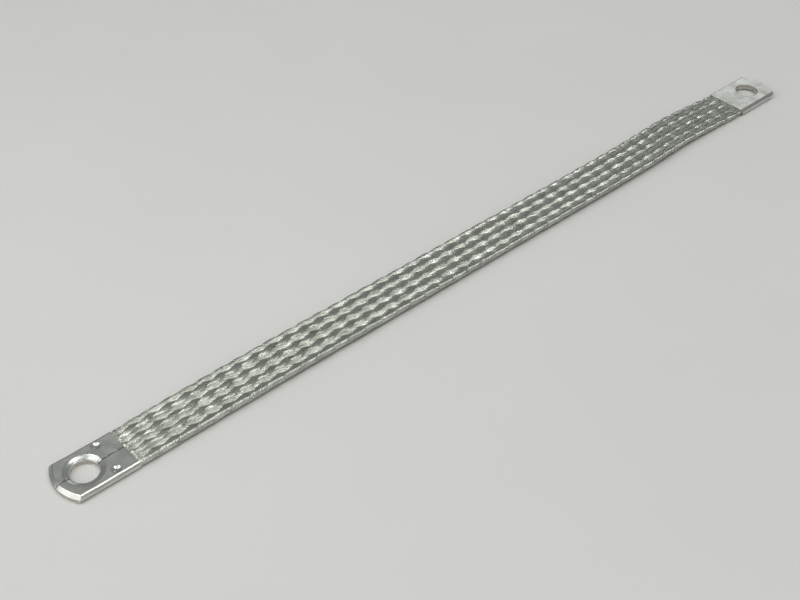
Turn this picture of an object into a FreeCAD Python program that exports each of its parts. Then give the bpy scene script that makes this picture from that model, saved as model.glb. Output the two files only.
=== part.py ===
import FreeCAD, Part
import math
import os
import Sketcher

# A flat grounding braid. Tinned copper wire is braided into a tube and rolled flat, and each end is
# pressed and punched inside a ferrule folded from sheet. The braid lies along X with its underside on
# Z = 0 and the origin below its middle. The near ferrule, at -X, has its seam up; the far one, seam down.

# Driving dimensions in millimetres, apart from the count of column pairs.
SIZES = {
    "hole_spacing": 300.0,
    "bore": 8.5,
    "bore_from_end": 9.0,
    "ferrule_width": 16.4,
    "ferrule_length": 22.0,
    "end_radius": 14.0,
    "sheet_thickness": 0.6,
    "cavity_height": 1.4,
    "bend_radius": 0.3,
    "seam_gap": 0.12,
    "dish_width": 1.9,
    "dish_depth": 0.35,
    "dent_diameter": 3.0,
    "dent_floor": 1.2,
    "dent_depth": 0.4,
    "dent_from_mouth": 5.9,
    "dent_spacing": 11.0,
    "end_roll": 1.0,
    "side_clearance": 0.1,
    "braid_width": 17.0,
    "braid_thickness": 2.5,
    "spread_length": 6.0,
    "column_pairs": 8,
    "column_shift": 0.75,
    "pick_length": 6.0,
    "weave_relief": 0.5,
    "strand_bevel": 0.3,
    "strand_dive": 1.4,
}

# Sizes that follow from the driving ones, as the sheet's expressions write them.
FERRULE_THICKNESS = "(Sizes.cavity_height + 2 * Sizes.sheet_thickness)"
CAVITY_WIDTH = "(Sizes.ferrule_width - 2 * Sizes.sheet_thickness)"
CAVITY_TOP = "(Sizes.cavity_height + Sizes.sheet_thickness)"
PRESSED_WIDTH = f"({CAVITY_WIDTH} - 2 * Sizes.side_clearance)"

ROOT_POINT = (-1, 1)
X_LINE = -1
Y_LINE = -2

doc = FreeCAD.newDocument("grounding_braid")


def make_sheet():
    """The spreadsheet that holds every driving dimension under its own name."""
    sheet = doc.addObject("Spreadsheet::Sheet", "Sizes")
    for row, (name, value) in enumerate(SIZES.items(), start=1):
        sheet.set(f"A{row}", name)
        sheet.set(f"B{row}", str(value))
        sheet.setAlias(f"B{row}", name)
    doc.recompute()
    return sheet


def new_sketch(body, role, name):
    """An empty sketch on one of the body's own origin planes."""
    sketch = body.newObject("Sketcher::SketchObject", name)
    plane = next(p for p in body.Origin.OriginFeatures if p.Role == role)
    sketch.AttachmentSupport = [(plane, "")]
    sketch.MapMode = "FlatFace"
    return sketch


def bind(sketch, kind, places, expression):
    """A dimension of the sketch that follows the sheet."""
    value = float(doc.Sizes.evalExpression(expression))
    index = sketch.addConstraint(Sketcher.Constraint(kind, *places, value))
    sketch.setExpression(f"Constraints[{index}]", expression)


def chain(sketch, geometry):
    """Draws lines and arcs end to end as one closed outline, and returns their numbers."""
    ids = [sketch.addGeometry(piece, False) for piece in geometry]
    for a, b in zip(ids, ids[1:] + ids[:1]):
        ends = [(p, q) for p in (1, 2) for q in (1, 2)]
        joint = min(ends, key=lambda e: sketch.getPoint(a, e[0]).distanceToPoint(sketch.getPoint(b, e[1])))
        sketch.addConstraint(Sketcher.Constraint("Coincident", a, joint[0], b, joint[1]))
    return ids


def line(start, end):
    """A straight side of an outline."""
    return Part.LineSegment(FreeCAD.Vector(*start, 0), FreeCAD.Vector(*end, 0))


def draw_slab(sketch, width, bottom, height):
    """A rectangle centred on the upright axis, with its lower side at the given height."""
    half, low, tall = (float(doc.Sizes.evalExpression(e)) for e in (f"{width} / 2", bottom, height))
    corners = [(-half, low), (half, low), (half, low + tall), (-half, low + tall)]
    base, right, top, left = chain(sketch, [line(a, b) for a, b in zip(corners, corners[1:] + corners[:1])])
    sketch.addConstraint(Sketcher.Constraint("Horizontal", top))
    for side in (left, right):
        sketch.addConstraint(Sketcher.Constraint("Vertical", side))
    sketch.addConstraint(Sketcher.Constraint("Symmetric", base, 1, base, 2, Y_LINE))
    bind(sketch, "DistanceX", (base, 1, base, 2), width)
    bind(sketch, "DistanceY", (right, 1, right, 2), height)
    if low:
        bind(sketch, "DistanceY", (*ROOT_POINT, base, 1), bottom)
    else:
        sketch.addConstraint(Sketcher.Constraint("PointOnObject", base, 1, X_LINE))


def add_feature(body, kind, name, sketch):
    """A feature of the body that uses the sketch as its profile."""
    feature = body.newObject(kind, name)
    feature.Profile = sketch
    return feature


def volume(body):
    """The body's volume so far."""
    doc.recompute()
    return body.Shape.Volume


def check_cut(body, before):
    """Stops if the last cut took nothing off the body."""
    if volume(body) >= before:
        raise RuntimeError(f"{body.Label}: {body.Tip.Label} cuts nothing")


def round_edges(body, name, radius, wanted):
    """Rounds the edges of the body that pass the test."""
    doc.recompute()
    base = body.Tip
    edges = [f"Edge{n}" for n, e in enumerate(base.Shape.Edges, start=1) if wanted(e)]
    if not edges:
        raise RuntimeError(f"{body.Label}: {name} finds no edge")
    fillet = body.newObject("PartDesign::Fillet", name)
    fillet.Base = (base, edges)
    fillet.setExpression("Radius", radius)


def runs_lengthwise(edge):
    """True for a straight edge along the braid."""
    a, b = edge.Vertexes[0].Point, edge.Vertexes[-1].Point
    return abs(a.y - b.y) < 1e-6 and abs(a.z - b.z) < 1e-6 and abs(a.x - b.x) > 1e-6


def draw_hollow(sketch, mouth_radius, floor_radius, depth):
    """Half the section of a round hollow in a face, with sloping sides and a flat floor."""
    mouth, floor, drop = (float(doc.Sizes.evalExpression(e)) for e in (mouth_radius, floor_radius, depth))
    corners = [(0, 0), (mouth, 0), (floor, -drop), (0, -drop)]
    top, _, base, axis = chain(sketch, [line(a, b) for a, b in zip(corners, corners[1:] + corners[:1])])
    sketch.addConstraint(Sketcher.Constraint("Coincident", top, 1, *ROOT_POINT))
    sketch.addConstraint(Sketcher.Constraint("Horizontal", top))
    sketch.addConstraint(Sketcher.Constraint("Horizontal", base))
    sketch.addConstraint(Sketcher.Constraint("Vertical", axis))
    bind(sketch, "DistanceX", (top, 1, top, 2), mouth_radius)
    bind(sketch, "DistanceX", (base, 2, base, 1), floor_radius)
    bind(sketch, "DistanceY", (axis, 1, axis, 2), depth)


# The hollows that the press leaves in the seam side: the sheet drawn in round the hole, and two dents.
# Each has its radius at the face, its radius at the floor and its depth.
DISH = ("(Sizes.bore / 2 + Sizes.dish_width)", "(Sizes.bore / 2)", "Sizes.dish_depth")
DENT = ("(Sizes.dent_diameter / 2)", "(Sizes.dent_floor / 2)", "Sizes.dent_depth")
DENT_ALONG = "(Sizes.ferrule_length - Sizes.dent_from_mouth)"

# Each pressing's name and form, and where it is along and across the ferrule.
PRESSINGS = [
    ("dish", DISH, "Sizes.bore_from_end", "0"),
    ("left_dent", DENT, DENT_ALONG, "(Sizes.dent_spacing / 2)"),
    ("right_dent", DENT, DENT_ALONG, "(-Sizes.dent_spacing / 2)"),
]


def press_hollows(body):
    """Turns each pressing's section about its own upright axis, and cuts it into the upper face."""
    for name, form, along, across in PRESSINGS:
        before = volume(body)
        sketch = new_sketch(body, "XZ_Plane", f"{body.Label}_{name}_section")
        draw_hollow(sketch, *form)
        for axis, place in (("x", along), ("y", FERRULE_THICKNESS), ("z", f"-1 * {across}")):
            sketch.setExpression(f"AttachmentOffset.Base.{axis}", place)
        turned = add_feature(body, "PartDesign::Groove", f"{body.Label}_{name}", sketch)
        turned.ReferenceAxis = (sketch, ["V_Axis"])
        turned.Angle = 360.0
        check_cut(body, before)


def trim_end(body):
    """Cuts the outer end to a round arc across the whole width."""
    before = volume(body)
    spare = "Sizes.sheet_thickness"
    reach = f"(Sizes.ferrule_width + 2 * {spare})"
    half, back = (float(doc.Sizes.evalExpression(e)) for e in (f"{reach} / 2", spare))
    radius = float(doc.Sizes.end_radius)
    turn = math.asin(half / radius)
    sag = radius - radius * math.cos(turn)
    circle = Part.Circle(FreeCAD.Vector(radius, 0, 0), FreeCAD.Vector(0, 0, 1), radius)
    arc = Part.ArcOfCircle(circle, math.pi - turn, math.pi + turn)
    sketch = new_sketch(body, "XY_Plane", f"{body.Label}_end_outline")
    lower, upper = line((sag, -half), (-back, -half)), line((-back, half), (sag, half))
    arc, lower, rear, upper = chain(sketch, [arc, lower, line((-back, -half), (-back, half)), upper])
    sketch.addConstraint(Sketcher.Constraint("PointOnObject", arc, 3, X_LINE))
    sketch.addConstraint(Sketcher.Constraint("PointOnObject", *ROOT_POINT, arc))
    sketch.addConstraint(Sketcher.Constraint("Horizontal", lower))
    sketch.addConstraint(Sketcher.Constraint("Horizontal", upper))
    sketch.addConstraint(Sketcher.Constraint("Symmetric", rear, 1, rear, 2, X_LINE))
    bind(sketch, "Radius", (arc,), "Sizes.end_radius")
    bind(sketch, "DistanceY", (rear, 1, rear, 2), reach)
    bind(sketch, "DistanceX", (rear, 1, *ROOT_POINT), spare)
    cut = add_feature(body, "PartDesign::Pocket", f"{body.Label}_end_cut", sketch)
    cut.Type = "ThroughAll"
    cut.Reversed = True
    check_cut(body, before)


def punch_bore(body):
    """Punches the bolt hole through everything between the two faces."""
    before = volume(body)
    sketch = new_sketch(body, "XY_Plane", f"{body.Label}_bore_outline")
    along, radius = float(doc.Sizes.bore_from_end), float(doc.Sizes.bore) / 2
    centre = FreeCAD.Vector(along, 0, 0)
    circle = sketch.addGeometry(Part.Circle(centre, FreeCAD.Vector(0, 0, 1), radius), False)
    sketch.addConstraint(Sketcher.Constraint("PointOnObject", circle, 3, X_LINE))
    bind(sketch, "DistanceX", (*ROOT_POINT, circle, 3), "Sizes.bore_from_end")
    bind(sketch, "Diameter", (circle,), "Sizes.bore")
    cut = add_feature(body, "PartDesign::Pocket", f"{body.Label}_bore_cut", sketch)
    cut.Type = "ThroughAll"
    cut.Reversed = True
    check_cut(body, before)


def add_slab(body, outlines):
    """Pads one or two nested rectangles from the outer end to the mouth."""
    sketch = new_sketch(body, "YZ_Plane", f"{body.Label}_section")
    for width, bottom, height in outlines:
        draw_slab(sketch, width, bottom, height)
    pad = add_feature(body, "PartDesign::Pad", f"{body.Label}_pad", sketch)
    pad.setExpression("Length", "Sizes.ferrule_length")
    doc.recompute()


def split_seam(body):
    """Opens the butt seam where the folded sheet's two edges meet, along the middle of the upper face."""
    before = volume(body)
    sketch = new_sketch(body, "YZ_Plane", f"{body.Label}_seam_section")
    draw_slab(sketch, "Sizes.seam_gap", CAVITY_TOP, "Sizes.sheet_thickness")
    cut = add_feature(body, "PartDesign::Pocket", f"{body.Label}_seam_cut", sketch)
    cut.Type = "ThroughAll"
    cut.Reversed = True
    check_cut(body, before)


def roll_end(body):
    """Bevels the upper rim of the round end, where the shear draws the sheet down.

    The bevel runs on past the end, so that it cuts clear of the material.
    """
    before = volume(body)
    sketch = new_sketch(body, "XZ_Plane", f"{body.Label}_end_roll_profile")
    radius, size = float(doc.Sizes.end_radius), float(doc.Sizes.end_roll)
    corners = [(-radius - size, 0), (-radius + size, 0), (-radius - size, -2 * size)]
    top, _, rim = chain(sketch, [line(a, b) for a, b in zip(corners, corners[1:] + corners[:1])])
    sketch.addConstraint(Sketcher.Constraint("PointOnObject", top, 1, X_LINE))
    sketch.addConstraint(Sketcher.Constraint("Horizontal", top))
    sketch.addConstraint(Sketcher.Constraint("Vertical", rim))
    bind(sketch, "DistanceX", (top, 2, *ROOT_POINT), "Sizes.end_radius - Sizes.end_roll")
    bind(sketch, "DistanceX", (top, 1, top, 2), "2 * Sizes.end_roll")
    bind(sketch, "DistanceY", (rim, 1, rim, 2), "2 * Sizes.end_roll")
    sketch.setExpression("AttachmentOffset.Base.x", "Sizes.end_radius")
    sketch.setExpression("AttachmentOffset.Base.y", FERRULE_THICKNESS)
    cut = add_feature(body, "PartDesign::Groove", f"{body.Label}_end_roll", sketch)
    cut.ReferenceAxis = (sketch, ["V_Axis"])
    cut.Midplane = True
    cut.Angle = 180.0
    check_cut(body, before)


def make_ferrule(label):
    """A sleeve folded from sheet, with its seam up, its outer end at X = 0 and its mouth towards +X."""
    body = doc.addObject("PartDesign::Body", label)
    add_slab(body, [("Sizes.ferrule_width", "0", FERRULE_THICKNESS),
                    (CAVITY_WIDTH, "Sizes.sheet_thickness", "Sizes.cavity_height")])
    inside = float(doc.Sizes.evalExpression(f"{CAVITY_WIDTH} / 2 + Sizes.sheet_thickness / 2"))

    def outer(edge):
        """True for a long edge on the outside of the sleeve."""
        return runs_lengthwise(edge) and abs(edge.Vertexes[0].Point.y) > inside

    def inner(edge):
        """True for a long edge inside the sleeve that is still sharp."""
        place = edge.Vertexes[0].Point
        cavity_corner = float(doc.Sizes.evalExpression(f"{CAVITY_WIDTH} / 2"))
        levels = [float(doc.Sizes.sheet_thickness), float(doc.Sizes.evalExpression(CAVITY_TOP))]
        at_level = min(abs(place.z - z) for z in levels) < 1e-6
        return runs_lengthwise(edge) and at_level and abs(abs(place.y) - cavity_corner) < 1e-6

    round_edges(body, f"{label}_inner_bends", "Sizes.bend_radius", inner)
    round_edges(body, f"{label}_outer_bends", "Sizes.bend_radius + Sizes.sheet_thickness", outer)
    press_hollows(body)
    split_seam(body)
    trim_end(body)
    roll_end(body)
    punch_bore(body)
    return body


def make_pressed_end(label):
    """The end of the braid as the press leaves it, filling the sleeve and punched with it."""
    body = doc.addObject("PartDesign::Body", label)
    add_slab(body, [(PRESSED_WIDTH, "Sizes.sheet_thickness", "Sizes.cavity_height")])
    round_edges(body, f"{label}_sides", "Sizes.bend_radius + Sizes.side_clearance", runs_lengthwise)
    trim_end(body)
    punch_bore(body)
    return body


def end_placements():
    """Where the near and far ends go: the far one is the same part turned over end for end."""
    top = float(doc.Sizes.evalExpression(FERRULE_THICKNESS))
    tip = float(doc.Sizes.hole_spacing) / 2 + float(doc.Sizes.bore_from_end)
    over = FreeCAD.Rotation(FreeCAD.Vector(0, 1, 0), 180)
    near = FreeCAD.Placement(FreeCAD.Vector(-tip, 0, 0), FreeCAD.Rotation())
    far = FreeCAD.Placement(FreeCAD.Vector(tip, 0, top), over)
    return {"near": near, "far": far}


class Weave:
    """The free stretch of the braid, where strands lie two over and two under round a flattened tube.

    The wall is laid out flat as a net of strand borders: knot (u, v) is where border u of the strands that
    lean one way crosses border v of those that lean back, so v - u counts rows along the braid and u + v
    counts half strands round it. A strand shows where it lies on top, as a float two meshes long and one
    wide: a flat crown with bevelled sides and ends that dive under the next strand. The floats stand in
    columns along the braid that lean left and right by turns.
    """

    def __init__(self, sizes):
        """Works out the net, and the section at the ferrules' mouths and clear of them."""
        self.strands = 2 * int(sizes.column_pairs)
        self.length = sizes.hole_spacing + 2 * sizes.bore_from_end - 2 * sizes.ferrule_length
        self.rows = round(2 * self.length / sizes.pick_length)
        self.row_step = self.length / self.rows
        self.spread_length = sizes.spread_length
        self.middle = sizes.sheet_thickness + sizes.cavity_height / 2
        pressed = sizes.ferrule_width / 2 - sizes.sheet_thickness - sizes.side_clearance
        self.mouth = (pressed, sizes.cavity_height / 2)
        self.free = (sizes.braid_width / 2, sizes.braid_thickness / 2)
        self.relief_share = sizes.weave_relief / self.free[1]
        around = 4 * (self.free[0] - self.free[1]) + math.pi * self.free[1]
        self.shift = sizes.column_shift / around
        spacing = around / self.strands
        mesh_side = math.hypot(self.row_step, spacing / 2)
        self.bevel = sizes.strand_bevel * mesh_side / (self.row_step * spacing)
        self.dive = sizes.strand_dive / mesh_side
        self.points = []
        self.numbers = {}
        self.triangles = []

    def section(self, s):
        """Half the width and half the thickness of the braid at s along it."""
        share = min(1.0, min(s, self.length - s) / self.spread_length)
        blend = share * share * (3 - 2 * share)
        return [m + (f - m) * blend for m, f in zip(self.mouth, self.free)]

    def place(self, u, v, depth):
        """The point at net position (u, v), a share of the relief below the crown.

        The section is a flat tube with round edges. Strands are spaced evenly along the middle of its
        wall, which is half as thick as the braid is from its middle to its face.
        """
        s = (v - u) * self.row_step
        wide, thick = self.section(s)
        flat = wide - thick
        reach = thick * (1 - depth * self.relief_share)
        edge = math.pi * thick / 4
        half_way = 2 * flat + 2 * edge
        c = ((u + v) / self.strands - 2 * self.shift) % 2.0 * half_way
        side = 1 if (c + edge) % (2 * half_way) < half_way else -1
        c = (c + edge) % half_way - edge
        if c < edge:
            y, z = flat + reach * math.cos(2 * c / thick), reach * math.sin(2 * c / thick)
        else:
            y, z = flat - (c - edge), reach
        return FreeCAD.Vector(s - self.length / 2, side * y, self.middle + side * z)

    def number(self, u, v, depth):
        """The number of that point in the net, which closes on itself round the tube."""
        turns = math.floor((u + v) / (2 * self.strands) + 1e-9)
        key = (round(u - turns * self.strands, 6), round(v - turns * self.strands, 6), depth)
        if key not in self.numbers:
            self.numbers[key] = len(self.points)
            self.points.append(self.place(u, v, depth))
        return self.numbers[key]

    def fill(self, corner, turned, rings):
        """Adds triangles given as rings of (along, across, depth), each filled from its first point."""
        for ring in rings:
            ids = [self.number(*corner(along, across), depth) for along, across, depth in ring]
            ids = ids[::-1] if turned else ids
            self.triangles += [(ids[0], a, b) for a, b in zip(ids[1:], ids[2:])]

    def add_float(self, corner, turned):
        """One float: two bevelled sides, two diving ends and a crown, which bends where it turns an edge."""
        low, high = self.bevel, 1 - self.bevel
        near, far = self.dive, 2 - self.dive
        stations = [near, far]
        crown = [self.place(*corner(a, b), 0) for a in stations for b in (low, high)]
        if any(abs(p.y) > self.free[0] - self.free[1] for p in crown):
            stations = [near, 1, far]
        for here, there in zip(stations, stations[1:]):
            self.fill(corner, turned, [[(here, low, 0), (there, low, 0), (there, high, 0), (here, high, 0)]])
        for border, rim, flip in ((0, low, turned), (1, high, not turned)):
            self.fill(corner, flip, [
                [(0, border, 1), (1, border, 1), (near, rim, 0)],
                [(1, border, 1), (2, border, 1), (far, rim, 0)],
                *([(1, border, 1), (there, rim, 0), (here, rim, 0)]
                  for here, there in zip(stations, stations[1:])),
            ])
        for end, rim, flip in ((0, near, not turned), (2, far, turned)):
            self.fill(corner, flip, [[(end, 0, 1), (end, 1, 1), (rim, high, 0), (rim, low, 0)]])

    def add_cut_float(self, corner, turned):
        """A float that a mouth cuts: a low point over each whole mesh, and halves along the mouth."""
        for start in (0, 1):
            mesh = [corner(start, 0), corner(start + 1, 0), corner(start + 1, 1), corner(start, 1)]
            rows = [v - u for u, v in mesh]
            places = [(start, 0, 1), (start + 1, 0, 1), (start + 1, 1, 1), (start, 1, 1)]
            middle = (start + 0.5, 0.5)
            if min(rows) >= 0 and max(rows) <= self.rows:
                sides = zip(places, places[1:] + places[:1])
                self.fill(corner, turned, [[a, b, (*middle, 0)] for a, b in sides])
            elif sum(0 <= row <= self.rows for row in rows) == 3:
                out = next(n for n, row in enumerate(rows) if not 0 <= row <= self.rows)
                after, across, before = (places[(out + step) % 4] for step in (1, 2, 3))
                self.fill(corner, turned, [[after, across, (*middle, 1)], [across, before, (*middle, 1)]])

    def add_cap(self, row, turned):
        """Closes the tube at a mouth."""
        ring = [self.number((n - row) / 2, (n + row) / 2, 1) for n in range(row, row + 2 * self.strands)]
        centre = len(self.points)
        self.points.append(FreeCAD.Vector(row * self.row_step - self.length / 2, 0, self.middle))
        for a, b in zip(ring, ring[1:] + ring[:1]):
            self.triangles.append((centre, b, a) if turned else (centre, a, b))

    def solid(self):
        """The woven stretch as one closed solid of flat faces."""
        for row in range(-4, self.rows + 4, 2):
            for column in range(self.strands // 2):
                right = ((4 * column - row) // 2, (4 * column + row) // 2)
                left = ((4 * column + 2 - row) // 2, (4 * column + 2 + row) // 2)
                leans = [
                    (lambda along, across, at=right: (at[0] + across, at[1] + along), True),
                    (lambda along, across, at=left: (at[0] + along, at[1] + across), False),
                ]
                for corner, turned in leans:
                    ends = [v - u for u, v in (corner(a, b) for a in (0, 2) for b in (0, 1))]
                    whole = min(ends) >= 0 and max(ends) <= self.rows
                    (self.add_float if whole else self.add_cut_float)(corner, turned)
        self.add_cap(0, False)
        self.add_cap(self.rows, True)
        skin = Part.Shape()
        skin.makeShapeFromMesh((self.points, self.triangles), 1e-6)
        return Part.Solid(skin.Shells[0])


def make_braid(placements):
    """The woven stretch and its two pressed ends, joined as the one length of braid that they are."""
    woven = doc.addObject("Part::Feature", "woven_stretch")
    woven.Shape = Weave(doc.Sizes).solid()
    ends = []
    for name, placement in placements.items():
        pressed = make_pressed_end(f"{name}_pressed_end")
        pressed.Placement = placement
        ends.append(pressed)
    braid = doc.addObject("Part::MultiFuse", "braid")
    braid.Shapes = [woven, *ends]
    doc.recompute()
    return braid


def main():
    """Builds the braid and its two ferrules, checks them, and writes one file for each."""
    make_sheet()
    placements = end_placements()
    pieces = [make_braid(placements)]
    for name, placement in placements.items():
        ferrule = make_ferrule(f"{name}_ferrule")
        ferrule.Placement = placement
        pieces.append(ferrule)
    doc.recompute()
    for item in doc.Objects:
        if {"Invalid", "Error"} & set(item.State):
            raise RuntimeError(f"{item.Label} did not build: {item.State}")
    for piece in pieces:
        if piece.Shape.isNull() or not piece.Shape.isValid() or len(piece.Shape.Solids) != 1:
            raise RuntimeError(f"{piece.Label} is not one sound solid")
    os.makedirs("parts", exist_ok=True)
    for piece in pieces:
        piece.Shape.exportStep(f"parts/{piece.Label}.step")


main()
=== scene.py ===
"""Looks of a flat grounding braid: a woven strap of tinned wire between two folded sheet ferrules.

Every size is in millimetres until a mesh, lamp or camera is made, where MM turns it to metres.
"""
import logging
import math
from dataclasses import dataclass, field
from enum import Enum
from typing import Any

import bpy
import numpy as np
from mathutils import Matrix, Vector


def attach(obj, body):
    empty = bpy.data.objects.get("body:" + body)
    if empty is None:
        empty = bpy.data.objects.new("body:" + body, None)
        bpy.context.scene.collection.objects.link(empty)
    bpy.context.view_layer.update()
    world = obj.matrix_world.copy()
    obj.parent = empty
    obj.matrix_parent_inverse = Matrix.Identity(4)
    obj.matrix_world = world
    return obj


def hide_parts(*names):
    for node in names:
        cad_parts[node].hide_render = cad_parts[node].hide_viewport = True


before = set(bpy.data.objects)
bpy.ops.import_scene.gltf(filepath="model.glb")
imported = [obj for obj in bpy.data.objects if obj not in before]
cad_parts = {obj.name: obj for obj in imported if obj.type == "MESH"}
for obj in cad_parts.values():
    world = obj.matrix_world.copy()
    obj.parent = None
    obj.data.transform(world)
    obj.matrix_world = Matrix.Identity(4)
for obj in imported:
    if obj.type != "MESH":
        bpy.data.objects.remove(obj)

MM = 0.001
BODY = "root"

# What the meshes hand to the materials: the strands' UV map, and the sheet's two point attributes.
# The seam attribute marks where the sheet's colour is darkened as painted shade.
LAY, CORE, SEAM_SHADE = "lay", "core", "seam"

# Sockets of a Mix node that is set to colours: its two inputs and its output.
COLOUR_A, COLOUR_B, COLOUR_MIXED = 6, 7, 2

# Range of a share.
UNIT = (0.0, 1.0)

Tree = bpy.types.NodeTree
Socket = bpy.types.NodeSocket

log = logging.getLogger("grounding_braid")


class Lean(Enum):
    """Which way a strand goes round the tube as it runs along the braid."""

    RIGHT = 1
    LEFT = -1


class Side(Enum):
    """Which way up a ferrule lies: with its seam up, or turned over end for end."""

    SEAM_UP = 1
    SEAM_DOWN = -1


def smoothstep(low: float, high: float, x: np.ndarray) -> np.ndarray:
    """Rises from 0 at low to 1 at high along 3t^2 - 2t^3."""
    t = np.clip((x - low) / (high - low), 0.0, 1.0)
    return t * t * (3.0 - 2.0 * t)


def quarter_round(inset: np.ndarray, radius: float) -> np.ndarray:
    """How far a rounded edge has dropped at a distance inside its outline.

    The drop is r - sqrt(r^2 - (r - d)^2) up to one radius inside, and nothing further in.

    Args:
        inset: Distance inside the outline.
        radius: Radius of the rounding.

    Returns:
        The drop below the flat face.
    """
    short = np.clip(radius - inset, 0.0, radius)
    return radius - np.sqrt(radius * radius - short * short)


def wander(rng: np.random.Generator, lines: tuple[int, ...], steps: int, cells: float) -> np.ndarray:
    """Smooth random lines: random knots from -1 to 1, joined by smoothstep.

    Args:
        rng: Seeded source of the knots.
        lines: Shape of the set of lines.
        steps: Points on each line.
        cells: Knot spacings along a line.

    Returns:
        An array of lines by steps.
    """
    knots = rng.uniform(-1.0, 1.0, (*lines, int(cells) + 2))
    x = np.linspace(0.0, cells, steps)
    cell = np.floor(x).astype(int)
    share = smoothstep(0.0, 1.0, x - cell)
    return knots[..., cell] * (1.0 - share) + knots[..., cell + 1] * share


def ripples(x: np.ndarray, y: np.ndarray, waves: tuple[tuple[float, ...], ...]) -> np.ndarray:
    """Sum of plane waves h * sin(ax + by + p), from rows of h, a, b and p."""
    return sum(height * np.sin(a * x + b * y + phase) for height, a, b, phase in waves)


def linear(colour: str) -> tuple[float, float, float, float]:
    """Turns an sRGB hex colour to linear red, green, blue and alpha.

    Args:
        colour: Six hex digits after a hash.

    Returns:
        The colour as a shader socket takes it.
    """
    parts = [int(colour[k:k + 2], 16) / 255.0 for k in (1, 3, 5)]
    return (*(p / 12.92 if p <= 0.04045 else ((p + 0.055) / 1.055) ** 2.4 for p in parts), 1.0)


def add_node(tree: Tree, kind: str, links: dict[str | int, Any], **settings: Any) -> bpy.types.Node:
    """Adds a node with its settings, and links or sets its inputs.

    Args:
        tree: Node tree that takes the node.
        kind: Node type.
        links: For each input, the socket that feeds it or the value that it holds.
        settings: Properties of the node.

    Returns:
        The new node.
    """
    made = tree.nodes.new(kind)
    for name, value in settings.items():
        setattr(made, name, value)
    for name, source in links.items():
        if isinstance(source, Socket):
            tree.links.new(source, made.inputs[name])
        else:
            made.inputs[name].default_value = source
    return made


def noise(tree: Tree, place: Socket, size: float, detail: float) -> Socket:
    """Adds noise with patches of a size, in the units of the place, and gives its value."""
    links = {"Vector": place, "Scale": 1.0 / size, "Detail": detail}
    return add_node(tree, "ShaderNodeTexNoise", links).outputs[0]


def remap(tree: Tree, value: Socket, source: tuple[float, float], target: tuple[float, float]) -> Socket:
    """Adds a straight map from one range to another, held at its ends.

    Args:
        tree: Node tree that takes the node.
        value: Socket that feeds it.
        source: Ends of the range that comes in.
        target: Ends of the range that goes out.

    Returns:
        The mapped value.
    """
    links = {"Value": value, "From Min": source[0], "From Max": source[1],
             "To Min": target[0], "To Max": target[1]}
    return add_node(tree, "ShaderNodeMapRange", links).outputs[0]


def mix_colours(tree: Tree, share: Socket, low: Any, high: Any) -> Socket:
    """Adds a mix of two colours, low where the share is 0 and high where it is 1, and gives its colour."""
    links = {"Factor": share, COLOUR_A: low, COLOUR_B: high}
    return add_node(tree, "ShaderNodeMix", links, data_type="RGBA").outputs[COLOUR_MIXED]


def bump(tree: Tree, height: Socket, strength: float, depth: float) -> Socket:
    """Adds a bump of a depth in millimetres and gives its normal."""
    links = {"Height": height, "Strength": strength, "Distance": depth * MM}
    return add_node(tree, "ShaderNodeBump", links).outputs[0]


def new_material(name: str) -> tuple[bpy.types.Material, Tree, bpy.types.Node]:
    """Makes an empty material.

    Args:
        name: Name of the material.

    Returns:
        The material, its tree and its output node.
    """
    material = bpy.data.materials.new(name)
    material.use_nodes = True
    tree = material.node_tree
    tree.nodes.clear()
    return material, tree, tree.nodes.new("ShaderNodeOutputMaterial")


def shade_with(tree: Tree, output: bpy.types.Node, links: dict[str | int, Any]) -> None:
    """Adds the surface shader with its inputs and links it to the output."""
    shader = add_node(tree, "ShaderNodeBsdfPrincipled", links)
    tree.links.new(shader.outputs[0], output.inputs[0])


def loop_faces(rings: int, around: int, copies: int) -> np.ndarray:
    """Quads of grids that close on themselves around, and stay open from first ring to last.

    Args:
        rings: Rings along each grid.
        around: Points on each ring.
        copies: Number of grids that follow one another in the point list.

    Returns:
        Point numbers, four for each quad.
    """
    ring, point = np.meshgrid(np.arange(rings - 1), np.arange(around), indexing="ij")
    after = (point + 1) % around
    quad = np.stack([ring * around + point, ring * around + after,
                     (ring + 1) * around + after, (ring + 1) * around + point], axis=-1).reshape(-1, 4)
    return (quad[None] + (np.arange(copies) * rings * around)[:, None, None]).reshape(-1, 4)


def put_mesh(name: str, points: np.ndarray, faces: list[np.ndarray]) -> bpy.types.Object:
    """Makes an object from points in millimetres and arrays of faces, each array with one face size.

    Args:
        name: Name of the object and its mesh.
        points: Points by three.
        faces: Arrays of point numbers, faces by corners.

    Returns:
        The object, linked to the scene, with smooth faces.
    """
    mesh = bpy.data.meshes.new(name)
    corners = np.concatenate([f.ravel() for f in faces]).astype(np.int32)
    totals = np.concatenate([np.full(len(f), f.shape[1]) for f in faces]).astype(np.int32)
    mesh.vertices.add(len(points))
    mesh.vertices.foreach_set("co", (points * MM).astype(np.float32).ravel())
    mesh.loops.add(len(corners))
    mesh.loops.foreach_set("vertex_index", corners)
    mesh.polygons.add(len(totals))
    mesh.polygons.foreach_set("loop_start", np.concatenate([[0], np.cumsum(totals)[:-1]]).astype(np.int32))
    mesh.polygons.foreach_set("use_smooth", np.ones(len(totals), dtype=bool))
    mesh.update(calc_edges=True)
    made = bpy.data.objects.new(name, mesh)
    bpy.context.scene.collection.objects.link(made)
    return made


def point_uv(piece: bpy.types.Object, values: np.ndarray) -> None:
    """Gives a piece a UV map that takes one pair of values from each point.

    Args:
        piece: Object that takes the map.
        values: Points by two.
    """
    mesh = piece.data
    corner = np.empty(len(mesh.loops), dtype=np.int32)
    mesh.loops.foreach_get("vertex_index", corner)
    layer = mesh.uv_layers.new(name=LAY)
    layer.data.foreach_set("uv", values[corner].astype(np.float32).ravel())


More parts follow.
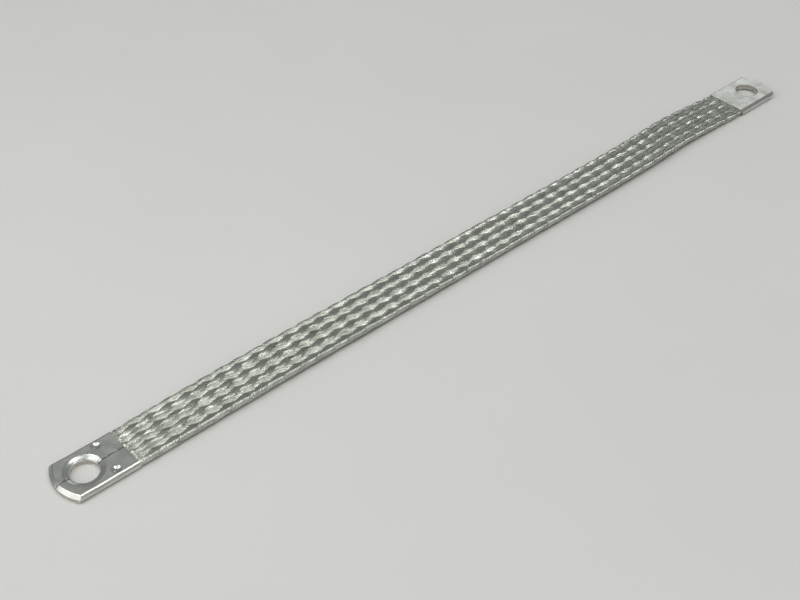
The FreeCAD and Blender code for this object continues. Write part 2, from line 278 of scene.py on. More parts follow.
def columns(foot: np.ndarray, ray: np.ndarray, run: np.ndarray,
            low: np.ndarray, high: np.ndarray, levels: np.ndarray) -> np.ndarray:
    """Points of a wall between two edges, without the edges' own.

    A point is at foot + ray * run in plan, and at low + (high - low) * level in height.

    Args:
        foot: Where the columns start in plan, columns by two.
        ray: Which way they lean in plan, columns by two.
        run: How far each point goes that way, columns by levels.
        low: Height of each column at level 0, columns by one.
        high: Height of each column at level 1, columns by one.
        levels: Shares of the height, the first and the last on the edges.

    Returns:
        Columns by levels but two by three.
    """
    plan = foot[:, None] + ray[:, None] * run[..., None]
    rise = low + (high - low) * levels
    return np.concatenate([plan, rise[..., None]], axis=-1)[:, 1:-1]


@dataclass(frozen=True)
class TinnedWire:
    """Tinned copper wire, drawn and braided.

    A thin coat of tin over soft copper: a bright, slightly warm grey metal. Each wire shines along a line,
    and its gloss changes from place to place where the tin has dulled or rubbed on the braiding machine.
    """

    name: str = "tinned copper wire, braided"
    bright: str = "#D7D9CF"
    dull: str = "#A6A99D"
    roughness: float = 0.18
    dull_roughness: float = 0.30
    mottle: float = 3.5
    streak: float = 0.35
    streak_squash: float = 0.25
    streak_share: float = 0.45
    worn: tuple[float, float] = (0.36, 0.64)
    bump_strength: float = 0.35
    bump_depth: float = 0.05

    def make(self) -> bpy.types.Material:
        """Builds the material.

        The UV map runs along each strand and across its wires, so streaks follow the wires.

        Returns:
            The finished material.
        """
        material, tree, output = new_material(self.name)
        lay = add_node(tree, "ShaderNodeUVMap", {}, uv_map=LAY).outputs["UV"]
        place = add_node(tree, "ShaderNodeTexCoord", {}).outputs["Object"]
        squash = {"Vector": lay, "Scale": (self.streak_squash, 1.0, 1.0)}
        along = add_node(tree, "ShaderNodeMapping", squash).outputs[0]
        # Dull and bright patches a few millimetres long, drawn out along the wires.
        streaks = noise(tree, along, self.streak, 3.0)
        clouds = noise(tree, place, self.mottle * MM, 4.0)
        both = {"Factor": self.streak_share, "A": clouds, "B": streaks}
        blend = add_node(tree, "ShaderNodeMix", both).outputs[0]
        wear = remap(tree, blend, self.worn, UNIT)
        # Dull tin is darker and shines less sharply.
        shade_with(tree, output, {
            "Base Color": mix_colours(tree, wear, linear(self.dull), linear(self.bright)),
            "Roughness": remap(tree, wear, UNIT, (self.dull_roughness, self.roughness)),
            "Normal": bump(tree, streaks, self.bump_strength, self.bump_depth),
            "Metallic": 1.0})
        return material


@dataclass(frozen=True)
class TinnedSheet:
    """Tinned copper sheet, folded, pressed and punched.

    Satin grey tin with soft clouds from the press, fine scratches from handling along the braid, bare copper
    wire where the shear and the punch have cut through the layers, and a dark colour down in the seam and
    along the mouth's edge as painted shade.
    """

    name: str = "tinned copper sheet, pressed"
    bright: str = "#DADAD4"
    dull: str = "#CACBC4"
    wire: str = "#C3C0B8"
    copper: str = "#B1A69B"
    # Painted shade: the dark colour put down in the seam's groove and on the mouth's edge.
    painted_shade: str = "#2E2E2B"
    roughness: float = 0.22
    dull_roughness: float = 0.30
    mottle: float = 5.0
    worn: tuple[float, float] = (0.34, 0.66)
    grain: float = 0.5
    scratch: float = 0.22
    scratch_slant: float = 0.3
    scratch_squash: float = 0.06
    scratched: tuple[float, float] = (0.64, 0.76)
    scratch_roughness: float = 0.10
    scratch_depth: float = -0.3
    bump_strength: float = 0.25
    bump_depth: float = 0.04

    def make(self) -> bpy.types.Material:
        """Builds the material.

        The core attribute is 1 on the cut wire between the two layers of sheet. The seam attribute is 1
        down in the butt seam and less on the mouth's edge, where it darkens the colour as painted shade.

        Returns:
            The finished material.
        """
        material, tree, output = new_material(self.name)
        place = add_node(tree, "ShaderNodeTexCoord", {}).outputs["Object"]
        core, seam = (add_node(tree, "ShaderNodeAttribute", {}, attribute_name=name).outputs["Fac"]
                      for name in (CORE, SEAM_SHADE))
        clouds = noise(tree, place, self.mottle * MM, 5.0)
        grain = noise(tree, place, self.grain * MM, 3.0)
        # Scratches are thin lines, a little askew to the braid.
        squash = {"Vector": place, "Rotation": (0.0, 0.0, self.scratch_slant),
                  "Scale": (self.scratch_squash, 1.0, 1.0)}
        drawn = add_node(tree, "ShaderNodeMapping", squash).outputs[0]
        lines = remap(tree, noise(tree, drawn, self.scratch * MM, 2.0), self.scratched, UNIT)
        # Clouded tin on the sheet, speckled wire ends in a cut, and painted shade, a dark colour, down in
        # the seam and on the mouth's edge.
        wear = remap(tree, clouds, self.worn, UNIT)
        tin = mix_colours(tree, wear, linear(self.dull), linear(self.bright))
        ends = mix_colours(tree, grain, linear(self.copper), linear(self.wire))
        layers = mix_colours(tree, core, tin, ends)
        colour = mix_colours(tree, seam, layers, linear(self.painted_shade))
        # A scratch is sunk, and rougher than the tin beside it.
        satin = remap(tree, wear, UNIT, (self.dull_roughness, self.roughness))
        changes = ((self.scratch_roughness, satin), (self.scratch_depth, grain))
        scuffed, relief = (add_node(tree, "ShaderNodeMath", {0: lines, 1: change, 2: whole},
                                    operation="MULTIPLY_ADD").outputs[0] for change, whole in changes)
        shade_with(tree, output, {
            "Base Color": colour, "Roughness": scuffed, "Metallic": 1.0,
            "Normal": bump(tree, relief, self.bump_strength, self.bump_depth)})
        return material


@dataclass(frozen=True)
class PaleFloor:
    """Matt paint on a flat board: one pale, even tone that takes a soft shadow."""

    name: str = "pale matt painted board"
    colour: str = "#E2E1DD"
    shade: str = "#DDDCD8"
    roughness: float = 0.75
    mottle: float = 60.0

    def make(self) -> bpy.types.Material:
        """Builds the material.

        Returns:
            The finished material.
        """
        material, tree, output = new_material(self.name)
        place = add_node(tree, "ShaderNodeTexCoord", {}).outputs["Object"]
        clouds = noise(tree, place, self.mottle * MM, 2.0)
        # Barely clouded paint, so that the floor isn't quite even.
        tint = mix_colours(tree, clouds, linear(self.shade), linear(self.colour))
        shade_with(tree, output, {"Base Color": tint, "Roughness": self.roughness})
        return material


@dataclass
class FlatTube:
    """The wall of the braid: a tube rolled flat that leaves one ferrule and goes into the other.

    Strands are spaced evenly along the middle of the wall. The section is a stadium, which draws in at
    both mouths. The middle of the tube follows a route that lifts a little off the floor and strays to the
    sides: along, rise and stray hold its control points, and half_width its free width at both ends.
    """

    middle: float = 1.3
    half_width: tuple[float, float] = (8.15, 7.85)
    half_thickness: float = 1.25
    mouth_half_width: float = 7.5
    mouth_half_thickness: float = 0.7
    swell: float = 1.0
    swell_share: float = 0.7
    spread: float = 9.0
    scallop: float = 0.6
    along: tuple[float, ...] = (-137, -130, -112, -80, -35, 15, 55, 85, 104, 122, 133, 137)
    rise: tuple[float, ...] = (0.0, 0.0, 0.35, 0.6, 0.6, 0.65, 0.8, 1.2, 1.2, 0.5, 0.0, 0.0)
    stray: tuple[float, ...] = (0.0, 0.25, 0.3, 0.38, 0.1, -0.05, -0.38, -0.35, 0.65, 0.5, 0.1, 0.0)
    route: np.ndarray = field(init=False)

    def __post_init__(self) -> None:
        """Draws the route as one smooth curve and reads its points."""
        curve = bpy.data.curves.new("braid_route", "CURVE")
        curve.dimensions = "3D"
        curve.resolution_u = 24
        spline = curve.splines.new("NURBS")
        spline.points.add(len(self.along) - 1)
        for point, x, y, lift in zip(spline.points, self.along, self.stray, self.rise):
            point.co = (x * MM, y * MM, (self.middle + lift) * MM, 1.0)
        spline.order_u = 3
        spline.use_endpoint_u = True
        holder = bpy.data.objects.new("braid_route", curve)
        drawn = bpy.data.meshes.new_from_object(holder)
        flat = np.empty(3 * len(drawn.vertices), dtype=np.float64)
        drawn.vertices.foreach_get("co", flat)
        self.route = flat.reshape(-1, 3) / MM
        bpy.data.meshes.remove(drawn)
        bpy.data.objects.remove(holder)
        bpy.data.curves.remove(curve)

    @property
    def length(self) -> float:
        """Length of the route from mouth to mouth."""
        return float(np.linalg.norm(np.diff(self.route, axis=0), axis=1).sum())

    @property
    def around(self) -> float:
        """Length round the middle of the wall at the near end, clear of the mouth."""
        return 4.0 * (self.half_width[0] - self.half_thickness) + math.pi * self.half_thickness

    def section(self, s: np.ndarray) -> tuple[np.ndarray, np.ndarray]:
        """Half the width and half the thickness at s along the braid.

        Both grow from the mouth's to the free braid's, most of the way just outside the mouth and the rest
        over a longer spread. The free width changes smoothly from one end to the other.

        Args:
            s: Distance from the near mouth.

        Returns:
            Half widths and half thicknesses.
        """
        clear = np.minimum(s, self.length - s)
        blend = (self.swell_share * smoothstep(0.0, self.swell, clear)
                 + (1.0 - self.swell_share) * smoothstep(0.0, self.spread, clear))
        share = smoothstep(0.0, 1.0, s / self.length)
        free = self.half_width[0] + (self.half_width[1] - self.half_width[0]) * share
        wide = self.mouth_half_width + (free - self.mouth_half_width) * blend
        thick = self.mouth_half_thickness + (self.half_thickness - self.mouth_half_thickness) * blend
        return wide, thick

    def follow(self, s: np.ndarray) -> tuple[np.ndarray, np.ndarray]:
        """Points of the route, and the way that is up from it.

        Points lie at their distance along the route, and go straight on along X past both ends. Up is
        square to the route's slope.

        Args:
            s: Distance from the near mouth.

        Returns:
            Points and directions, both with three coordinates on the last axis.
        """
        steps = np.linalg.norm(np.diff(self.route, axis=0), axis=1)
        at = np.concatenate([[0.0], np.cumsum(steps)])
        inside = np.clip(s, 0.0, self.length)
        line = np.stack([np.interp(inside, at, self.route[:, k]) for k in range(3)], axis=-1)
        line[..., 0] += s - inside
        slope = np.interp(inside, at, np.gradient(self.route[:, 2], at))
        upright = np.stack([-slope, np.zeros_like(slope), np.sqrt(1.0 - slope * slope)], axis=-1)
        return line, upright

    def place(self, s: np.ndarray, turn: np.ndarray, out: np.ndarray) -> np.ndarray:
        """Points of the wall.

        Going once round, the point runs along the flat of one face, round an edge, back along the other face
        and round the other edge. Its distance from the flat tube's middle line is half the thickness of the
        wall plus out, shrunk with the section at the mouths. At the edges, out grows by the scallop, because
        strands stand off more where they turn over.

        Args:
            s: Distance from the near mouth.
            turn: Share of one turn round the tube.
            out: Distance outside the middle of the wall, clear of the mouths.

        Returns:
            Points with three coordinates on the last axis.
        """
        wide, thick = self.section(s)
        flat = wide - thick
        edge = math.pi * thick / 4.0
        half_way = 2.0 * flat + 2.0 * edge
        c = (turn % 1.0) * 2.0 * half_way
        side = np.where((c + edge) % (2.0 * half_way) < half_way, 1.0, -1.0)
        c = (c + edge) % half_way - edge
        angle = np.clip(2.0 * c / thick, -math.pi / 2.0, math.pi / 2.0)
        on_edge = c < edge
        stand_off = out * (1.0 + self.scallop * np.where(on_edge, np.cos(angle), 0.0))
        reach = thick * (0.5 + stand_off / self.half_thickness)
        y = side * np.where(on_edge, flat + reach * np.cos(angle), flat - (c - edge))
        z = side * np.where(on_edge, reach * np.sin(angle), reach)
        line, upright = self.follow(s)
        line[..., 1] += y
        return line + z[..., None] * upright


@dataclass
class Strands:
    """Some of the strands that lean one way: flat ribbons of wires laid side by side.

    The wall is a net of strand borders. In net units a strand of the right lean has u = its number + 1/2,
    and v grows along it; the left lean has them the other way round. v - u counts rows, and (u + v) / 2
    counts strands round the tube. A strand lies over two and under two, so its height follows a flattened
    cosine of period 4 that is highest in the middle of each float. Play and knots say how far strands and
    wires wander from there, and at how many random knots for every two rows.
    """

    tube: FlatTube
    lean: Lean
    first: int
    count: int = 8
    per_turn: int = 16
    rows: int = 87
    start: float = -0.5
    column_shift: float = 0.35
    period: float = 4.0
    wires: int = 7
    swing: float = 0.30
    flatness: float = 0.60
    thickness: float = 0.5
    dome: float = 0.08
    shoulder: float = 0.985
    squareness: int = 8
    wire_depth: float = 0.13
    wire_flank: float = 0.12
    under_width: float = 0.88
    cover: float = 1.1
    waist: float = 0.9
    tucked: float = 3.0
    stations: int = 360
    lay_step: float = 3.0
    seed: int = 11
    seed_step: int = 100
    side_play: float = 0.06
    loft_play: float = 0.035
    ripple_play: float = 0.028
    ripple_knots: float = 2.2
    sway_play: float = 0.03
    sway_knots: float = 1.3

    @property
    def numbers(self) -> np.ndarray:
        """Numbers of the strands, counted round the tube."""
        return self.first + np.arange(self.count)

    @property
    def crest(self) -> float:
        """Where on strand 0 a float has its middle: half a period further on for the left lean."""
        return 1.0 if self.lean is Lean.RIGHT else 1.0 + self.period / 2.0

    def ring(self) -> tuple[np.ndarray, np.ndarray, np.ndarray]:
        """The section of a ribbon: a row of round wires on top, and a flat underside.

        Each wire's top is a half circle drawn with four steps, with the points that shape its flanks close
        to the valleys, and the row is slightly domed, with square shoulders.

        Returns:
            Place across from -1 to 1, height above the ribbon's middle, and wire number of each point.
        """
        steps = np.array([0.0, self.wire_flank, 0.5, 1.0 - self.wire_flank])
        k = np.arange(len(steps) * self.wires + 1)
        phase = steps[k % len(steps)]
        wire = k // len(steps)
        q = -1.0 + 2.0 * (wire + phase) / self.wires
        bead = np.sqrt(1.0 - (2.0 * phase - 1.0) ** 2)
        top = self.thickness / 2.0 * np.sqrt(1.0 - (self.shoulder * q) ** self.squareness)
        top += self.dome * (1.0 - q * q)
        top -= self.wire_depth * (1.0 - bead) * (1.0 - np.abs(q) ** self.squareness)
        under = self.under_width * np.array([1.0, 0.0, -1.0])
        height = np.concatenate([top, np.full_like(under, -self.thickness / 2.0)])
        wire = np.concatenate([np.minimum(wire, self.wires - 1), np.full(len(under), self.wires)])
        return np.concatenate([q, under]), height, wire

    def weave(self) -> tuple[np.ndarray, np.ndarray, np.ndarray]:
        """Places every point of the strands on the wall of the tube.

        A strand goes evenly along its line of the net. With b = cos(2 pi (t + n - crest) / period), where t
        is how far along the net it is and n its number, it is lifted by swing * b / (1 - f + f |b|), where
        f is its flatness, and it is widest on top and drawn in by the waist underneath. Strands stray
        sideways and up, and wires ripple and sway, by smooth random lines.

        Returns:
            Distance from the near mouth, share of a turn and distance outside the middle of the wall, each
            by strands, stations and points of the ring.
        """
        rng = np.random.default_rng(self.seed + self.seed_step * self.first + self.lean.value)
        q, height, wire = self.ring()
        row_step = self.tube.length / self.rows
        extra = self.tucked / row_step
        travel = np.linspace(-extra, self.rows + extra, self.stations)

        cells = self.rows / 2.0
        one, each = (self.count,), (self.count, self.wires + 1)
        sideways = self.side_play * wander(rng, one, self.stations, cells)
        loft = self.loft_play * wander(rng, one, self.stations, cells)
        ripple = self.ripple_play * wander(rng, each, self.stations, self.ripple_knots * cells)[:, wire]
        sway = self.sway_play * wander(rng, each, self.stations, self.sway_knots * cells)[:, wire]

        number = self.numbers[:, None]
        own = number + 0.5
        along = own + self.lean.value * travel
        beat = np.cos(2.0 * math.pi / self.period * (along - (self.crest - number)))
        lift = self.swing * beat / (1.0 - self.flatness + self.flatness * np.abs(beat)) + loft
        width = self.cover / 2.0 * (self.waist + (1.0 - self.waist) * (0.5 + 0.5 * beat))
        across = own[..., None] + sideways[..., None] + width[..., None] * q + sway.transpose(0, 2, 1)
        ahead = np.broadcast_to(along[..., None], across.shape)
        out = lift[..., None] + height + ripple.transpose(0, 2, 1)
        u, v = (across, ahead) if self.lean is Lean.RIGHT else (ahead, across)
        s = (v - u) * row_step + self.start
        turn = (u + v) / (2.0 * self.per_turn) - self.column_shift / self.tube.around
        return s, turn, out

    def build(self, name: str) -> bpy.types.Object:
        """Makes the strands, each a ribbon closed at both ends, with the UV map that its finish needs.

        Args:
            name: Name of the piece.

        Returns:
            The strands as one object.
        """
        s, turn, out = self.weave()
        points = self.tube.place(s, turn, out)
        around = s.shape[-1]
        faces = loop_faces(self.stations, around, self.count)
        starts = np.arange(self.count)[:, None] * self.stations * around
        caps = [starts + np.arange(around)[::-1], starts + (self.stations - 1) * around + np.arange(around)]
        piece = put_mesh(name, points.reshape(-1, 3), [faces, *caps])
        across = self.ring()[0] + self.lay_step * self.numbers[:, None, None]
        point_uv(piece, np.stack([s, np.broadcast_to(across, s.shape)], axis=-1).reshape(-1, 2))
        return piece


@dataclass
class Braid:
    """The free length of braid, as four sets of strands that are woven through each other."""

    tube: FlatTube
    finish: TinnedWire
    slot: str = "braided_wire"
    node: str = "braid"
    width: float = 17.0

    def build(self) -> list[bpy.types.Object]:
        """Returns:
            The four pieces.
        """
        material = self.finish.make()
        made = []
        for lean in Lean:
            for k, half in enumerate(("upper", "lower")):
                strands = Strands(self.tube, lean, k * Strands.count)
                piece = strands.build(f"{lean.name.lower()}_strands_{half}")
                piece.data.materials.append(material)
                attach(piece, BODY)
                made.append(piece)
                log.info("%s: %d faces", piece.name, len(piece.data.polygons))
        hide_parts(self.node)
        return made


@dataclass
class Ferrule:
    """A sleeve folded from sheet and pressed on the end of the braid, with a punched hole.

    In its own frame the round end is at x = 0, the mouth is towards +x, the plain side is at z = 0 and the
    seam side is up. Spokes run from the hole to the outline, and each spoke is a closed loop: up the hole's
    wall, out along the seam side, down the outline's wall and back along the plain side.

    Each row of cut_rows is a level of a cut wall: its share of the height, how deep it lies as a share of
    the gap between the layers of sheet, and how much of it is bare wire. Rows of waves are as ripples takes
    them.
    """

    node: str
    side: Side
    finish: bpy.types.Material
    slot: str = "ferrule_sheet"
    tip_at: float = 159.0
    length: float = 22.0
    half_width: float = 8.2
    thickness: float = 2.6
    end_radius: float = 14.0
    hole_at: float = 9.0
    hole_radius: float = 4.25
    fold_radius: float = 1.2
    end_bevel: float = 1.05
    bevel_slope: float = 0.9
    bevel_knee: float = 0.1
    bevel_least: float = 0.01
    burr_radius: float = 0.07
    dish_width: float = 1.9
    dish_depth: float = 0.55
    sag_width: float = 3.0
    sag_depth: float = 0.16
    rim_radius: float = 0.22
    dents_at: tuple[tuple[float, float], ...] = ((16.2, 5.5), (15.9, -5.7))
    dent_radius: float = 1.6
    dent_depth: float = 0.5
    seam_width: float = 0.11
    seam_depth: float = 0.4
    seam_waves: tuple[tuple[float, ...], ...] = ((0.03, 0.7, 0.5, 1.0), (0.02, 0.4, -0.8, 0.0))
    seam_lowered: float = 0.05
    plain_waves: tuple[tuple[float, ...], ...] = ((0.012, 0.6, 0.4, 0.0),)
    plain_raised: float = 0.012
    cut_rows: tuple[tuple[float, float, float], ...] = (
        (1.0, 0.0, 0.0), (0.785, 0.0, 0.0), (0.77, 1.0, 0.6), (0.755, 0.3, 1.0), (0.5, 0.4, 1.0),
        (0.245, 0.3, 1.0), (0.23, 1.0, 0.6), (0.215, 0.0, 0.0), (0.0, 0.0, 0.0))
    end_gap: float = 0.07
    hole_gap: float = 0.06
    pocket: float = 1.5
    mouth_lip: float = 0.02
    mouth_from: tuple[float, float] = (0.55, 0.95)
    end_from: tuple[float, float] = (0.2, 0.7)
    mouth_shade: float = 0.7
    crease: float = 42.0
    seam_points: tuple[float, ...] = (0.0, 0.04, 0.08, 0.12, 0.17, 0.24, 0.34, 0.5)
    mouth_points: int = 24
    fold_points: int = 9
    side_points: int = 64
    rim_points: tuple[float, ...] = (0.0, 0.03, 0.07, 0.13, 0.22, 0.32)
    face_points: int = 44
    edge_band: float = 1.3
    edge_points: int = 13
    edge_step: float = 0.02

    def outline(self) -> np.ndarray:
        """Points round the ferrule, from the middle of the mouth by the left side to the end and back.

        The mouth is straight, the sides are straight and the end is an arc. Points crowd at the corners and
        on the seam.

        Returns:
            Points by two.
        """
        wide = self.half_width
        bend = wide - self.fold_radius * (1.0 - np.sin(np.linspace(0.0, math.pi / 2.0, self.fold_points)))
        even = np.linspace(self.seam_points[-1], bend[0], self.mouth_points + 2)[1:-1]
        rise = np.concatenate([self.seam_points, even, bend])
        sag = self.end_radius - math.sqrt(self.end_radius ** 2 - wide ** 2)
        share = np.linspace(0.0, math.pi, self.side_points + 2)[1:-1]
        run = self.length - (self.length - sag) * (0.5 - 0.5 * np.cos(share))
        back = rise[::-1]
        arc = self.end_radius - np.sqrt(self.end_radius ** 2 - back ** 2)
        half = np.concatenate([
            np.stack([np.full_like(rise, self.length), rise], axis=-1),
            np.stack([run, np.full_like(run, wide)], axis=-1),
            np.stack([arc, back], axis=-1)])
        mirrored = half[-2:0:-1] * np.array([1.0, -1.0])
        return np.concatenate([half, mirrored])

    def fold_drop(self, x: np.ndarray, y: np.ndarray) -> np.ndarray:
        """How far a face falls at the folded sides and the mouth: the deeper of the two.

        Args:
            x: Distance from the end.
            y: Distance across.

        Returns:
            Depths below the flat face.
        """
        sides = quarter_round(self.half_width - np.abs(y), self.fold_radius)
        mouth = quarter_round(self.length - x, self.burr_radius)
        return np.maximum(sides, mouth)

    def end_inset(self, x: np.ndarray, y: np.ndarray) -> np.ndarray:
        """Distance inside the round end, and far inside beyond the arc's middle."""
        inset = self.end_radius - np.hypot(x - self.end_radius, y)
        return np.where(x < self.end_radius, inset, self.end_radius)

    def seam_share(self, y: np.ndarray) -> np.ndarray:
        """How deep in the seam a point is: 1 on its middle line, and falling as exp(-(y / width)^4)."""
        return np.exp(-(y / self.seam_width) ** 4)

    def seam_side(self, x: np.ndarray, y: np.ndarray) -> np.ndarray:
        """Height of the seam side.

        From the flat, it takes away the folds' drop or the end's bevel, whichever is deeper, a dish that
        falls to the hole along a half cosine with a shallow sag around it, the hole's rounded rim, two bowls
        (1 - r^2)^2 and the seam, and adds long waves left by the press, lowered to stay below the flat. The
        bevel is a straight slope with a soft knee, (e + sqrt(e^2 + k^2)) / 2.

        Args:
            x: Distance from the end.
            y: Distance across.

        Returns:
            Heights above the plain side.
        """
        outside = np.hypot(x - self.hole_at, y) - self.hole_radius
        share = np.clip(outside / self.dish_width, 0.0, 1.0)
        dish = self.dish_depth * (0.5 + 0.5 * np.cos(math.pi * share))
        sag = self.sag_depth * np.exp(-(outside / self.sag_width) ** 2)
        rim = quarter_round(outside, self.rim_radius)
        bowls = [np.hypot(x - a, y - b) / self.dent_radius for a, b in self.dents_at]
        dents = self.dent_depth * sum(np.clip(1.0 - r * r, 0.0, 1.0) ** 2 for r in bowls)
        slope = self.bevel_slope * (self.end_bevel - self.end_inset(x, y))
        bevel = 0.5 * (slope + np.sqrt(slope * slope + self.bevel_knee ** 2))
        edges = np.maximum(self.fold_drop(x, y), np.where(bevel > self.bevel_least, bevel, 0.0))
        seam = self.seam_depth * self.seam_share(y)
        waves = ripples(x, y, self.seam_waves) - self.seam_lowered
        return self.thickness - edges - dish - rim - dents - sag - seam + waves

    def plain_side(self, x: np.ndarray, y: np.ndarray) -> np.ndarray:
        """Height of the plain side, which has sharp cut edges at the end and the hole.

        It adds the hole's and the end's small burrs, the folds' drop and a long wave to the flat.

        Args:
            x: Distance from the end.
            y: Distance across.

        Returns:
            Heights above the surface that the plain side lies on.
        """
        rim = quarter_round(np.hypot(x - self.hole_at, y) - self.hole_radius, self.burr_radius)
        burr = quarter_round(self.end_inset(x, y), self.burr_radius)
        waves = ripples(x, y, self.plain_waves) + self.plain_raised
        return np.maximum(self.fold_drop(x, y), burr) + rim + waves

    def spokes(self, edge: np.ndarray) -> tuple[np.ndarray, np.ndarray]:
        """Lines from the middle of the hole to the outline.

        Their points crowd at the hole's rim and at the outline, and are even in between.

        Args:
            edge: Points of the outline.

        Returns:
            Each spoke's direction, and the distances of its points from the middle of the hole.
        """
        ray = edge - np.array([self.hole_at, 0.0])
        reach = np.linalg.norm(ray, axis=1)
        span = reach[:, None] - self.hole_radius
        near_hole = np.array(self.rim_points)
        near_edge = self.edge_band * (1.0 - np.sin(np.linspace(0.0, math.pi / 2.0, self.edge_points)))
        near_edge[-2] = self.edge_step
        free = np.linspace(0.0, 1.0, self.face_points + 2)[1:-1]
        between = near_hole[-1] + (span - near_edge[0] - near_hole[-1]) * free
        rim = np.broadcast_to(near_hole, (len(edge), len(near_hole)))
        out = np.concatenate([rim, between, span - near_edge], axis=1) + self.hole_radius
        return ray / reach[:, None], out

    def build(self) -> bpy.types.Object:
        """Makes the ferrule in its place, with the attributes that its finish needs, and dresses it.

        Returns:
            The ferrule.
        """
        edge = self.outline()
        ray, out = self.spokes(edge)
        x = self.hole_at + out * ray[:, :1]
        y = out * ray[:, 1:]
        top = np.stack([x, y, self.seam_side(x, y)], axis=-1)
        base = np.stack([x, y, self.plain_side(x, y)], axis=-1)[:, ::-1]

        # The mouth's wall is hollowed to a pocket that the braid goes into, and the cut walls show layers.
        levels, depth, bare = np.array(self.cut_rows).T
        beside = self.half_width - np.abs(edge[:, 1])
        at_mouth = smoothstep(self.length - self.mouth_lip, self.length, edge[:, 0])
        at_mouth = (at_mouth * smoothstep(*self.mouth_from, beside))[:, None]
        at_end = np.where(edge[:, 0] < self.hole_at, smoothstep(*self.end_from, beside), 0.0)[:, None]
        inset = self.pocket * at_mouth * (depth > 0.0) + self.end_gap * at_end * depth
        wall = columns(edge, -ray, inset, base[:, 0, 2:], top[:, -1, 2:], levels)
        bore = np.broadcast_to(self.hole_radius + self.hole_gap * depth, inset.shape)
        middle = np.array([[self.hole_at, 0.0]])
        hole = columns(middle, ray, bore, base[:, -1, 2:], top[:, 0, 2:], levels[::-1])
        loops = np.concatenate([hole, top, wall, base], axis=1)

        blank = [np.zeros(part.shape[:2]) for part in (hole, top, wall, base)]
        cut = np.concatenate([blank[0] + bare[1:-1], blank[1], bare[1:-1] * at_end, blank[3]], axis=1)
        # Painted shade: the seam's groove and the mouth's edge are darkened through the seam attribute.
        shade = blank[2] + self.mouth_shade * at_mouth
        seam = np.concatenate([blank[0], self.seam_share(y), shade, blank[3]], axis=1)

        spokes, around = loops.shape[:2]
        faces = loop_faces(spokes + 1, around, 1) % (spokes * around)
        points = loops.reshape(-1, 3)
        points[:, 0] = self.side.value * (points[:, 0] - self.tip_at)
        if self.side is Side.SEAM_DOWN:
            points[:, 2] = self.thickness - points[:, 2]
        piece = put_mesh(f"{self.node}_sheet", points, [faces])
        for name, share in ((CORE, cut), (SEAM_SHADE, seam)):
            layer = piece.data.attributes.new(name, "FLOAT", "POINT")
            layer.data.foreach_set("value", share.astype(np.float32).ravel())
        piece.data.set_sharp_from_angle(angle=math.radians(self.crease))
        piece.data.materials.append(self.finish)
        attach(piece, BODY)
        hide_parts(self.node)
        log.info("%s: %d faces", piece.name, len(piece.data.polygons))
        return piece


@dataclass(frozen=True)
class Lamp:
    """A rectangular soft lamp.

    It faces straight down with its width along X, and is then tipped up about its width and turned about Z,
    both in degrees. A brightness of 1 makes its face look as bright as white paper.
    """

    name: str
    at: tuple[float, float, float]
    size: tuple[float, float]
    tip: float
    turn: float
    brightness: float

    def add(self) -> None:
        """Adds the lamp to the scene, with the power that its face needs for its brightness."""
        data = bpy.data.lights.new(self.name, "AREA")
        data.shape = "RECTANGLE"
        data.size, data.size_y = self.size[0] * MM, self.size[1] * MM
        data.energy = self.brightness * math.pi * data.size * data.size_y
        made = bpy.data.objects.new(self.name, data)
        made.location = Vector(self.at) * MM
        made.rotation_euler = (math.radians(self.tip), 0.0, math.radians(self.turn))
        bpy.context.scene.collection.objects.link(made)


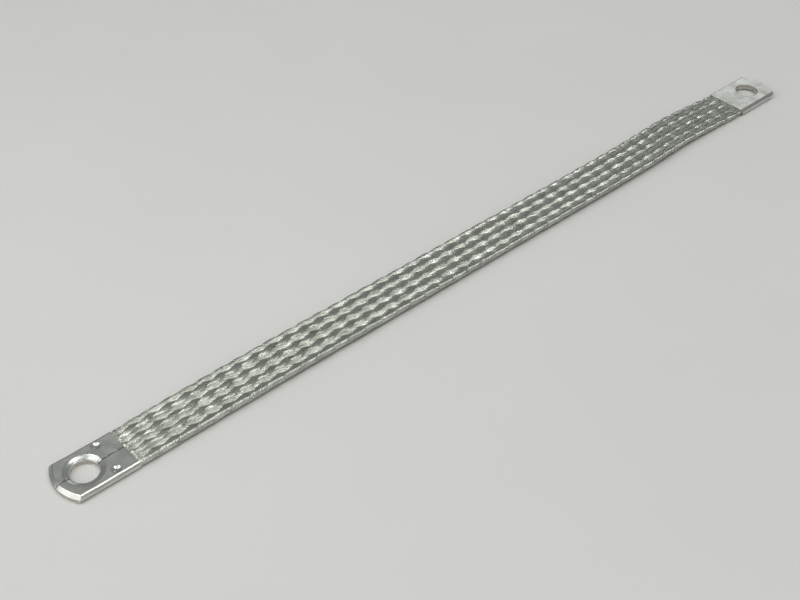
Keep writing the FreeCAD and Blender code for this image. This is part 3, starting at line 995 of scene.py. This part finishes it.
@dataclass
class Studio:
    """Floor, lamps and camera.

    Two large boxes overhead light the floats of the strands that lean right, and leave the others grey.
    The box beyond the near end fills in. The strip and the cards are what the ferrules and the braid's edges
    mirror.
    """

    floor: PaleFloor
    floor_size: float = 16000.0
    sky: str = "#85888A"
    lamps: tuple[Lamp, ...] = (
        Lamp("rim_strip", (-230.0, 103.0, 300.0), (112.0, 60.0), 0.0, -38.7, 5.0),
        Lamp("soft_box", (387.0, -920.0, 3000.0), (1625.0, 2029.0), 0.0, 18.9, 1.5),
        Lamp("side_box", (1225.0, -846.0, 2900.0), (680.0, 1250.0), 0.0, 18.9, 5.0),
        Lamp("dish_card", (-65.0, 25.0, 300.0), (50.0, 40.0), 0.0, -38.7, 3.2),
        Lamp("end_box", (-2900.0, 500.0, 2400.0), (4300.0, 4300.0), 50.5, -99.8, 1.3),
        Lamp("near_card", (-45.0, 300.0, 335.0), (100.0, 70.0), 45.0, 165.0, 0.4),
        Lamp("back_card", (575.0, 600.0, 130.0), (650.0, 180.0), 90.0, 180.0, 0.8),
        Lamp("far_card", (640.0, 290.0, 332.0), (160.0, 120.0), 60.0, 120.5, 0.9),
        Lamp("front_card", (-250.0, -620.0, 330.0), (600.0, 300.0), 62.0, -15.0, 0.8))
    azimuth: float = -42.433
    elevation: float = 40.447
    roll: float = 0.648
    distance: float = 412.5
    target: tuple[float, float, float] = (-35.22, -1.92, 0.0)
    lens: float = 58.0
    sensor: float = 36.0
    clip: tuple[float, float] = (10.0, 20000.0)

    def build(self) -> None:
        """Sets the floor, the lamps and the camera."""
        half = self.floor_size / 2.0
        corners = np.array([[-half, -half, 0.0], [half, -half, 0.0], [half, half, 0.0], [-half, half, 0.0]])
        floor = put_mesh("floor", corners, [np.array([[0, 1, 2, 3]])])
        floor.data.materials.append(self.floor.make())
        self.light()
        self.aim()

    def light(self) -> None:
        """Sets grey surroundings and adds the lamps."""
        world = bpy.data.worlds.new("grey studio")
        world.use_nodes = True
        world.node_tree.nodes["Background"].inputs["Color"].default_value = linear(self.sky)
        bpy.context.scene.world = world
        for lamp in self.lamps:
            lamp.add()

    def aim(self) -> None:
        """Sets the camera on a ball round its target, turned by its roll."""
        turn, lift, roll = (math.radians(a) for a in (self.azimuth, self.elevation, self.roll))
        back = Vector((math.sin(turn) * math.cos(lift), -math.cos(turn) * math.cos(lift), math.sin(lift)))
        level = (-back).cross(Vector((0.0, 0.0, 1.0))).normalized()
        upright = level.cross(-back)
        right = math.cos(roll) * level + math.sin(roll) * upright
        up = math.cos(roll) * upright - math.sin(roll) * level
        data = bpy.data.cameras.new("camera")
        data.lens = self.lens
        data.sensor_width = self.sensor
        data.clip_start, data.clip_end = (end * MM for end in self.clip)
        camera = bpy.data.objects.new("camera", data)
        spin = Matrix((right, up, back)).transposed().to_4x4()
        camera.matrix_world = Matrix.Translation((Vector(self.target) + back * self.distance) * MM) @ spin
        bpy.context.scene.collection.objects.link(camera)
        bpy.context.scene.camera = camera


def main() -> None:
    """Builds the pieces in order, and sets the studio."""
    logging.basicConfig(level=logging.INFO, format="%(name)s: %(message)s")
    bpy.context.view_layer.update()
    tube = FlatTube()
    Braid(tube, TinnedWire()).build()
    sheet = TinnedSheet().make()
    for node, side in (("near_ferrule", Side.SEAM_UP), ("far_ferrule", Side.SEAM_DOWN)):
        Ferrule(node, side, sheet).build()
    Studio(PaleFloor()).build()
    bpy.context.scene.view_settings.view_transform = "Standard"


if __name__ == "__main__":
    main()
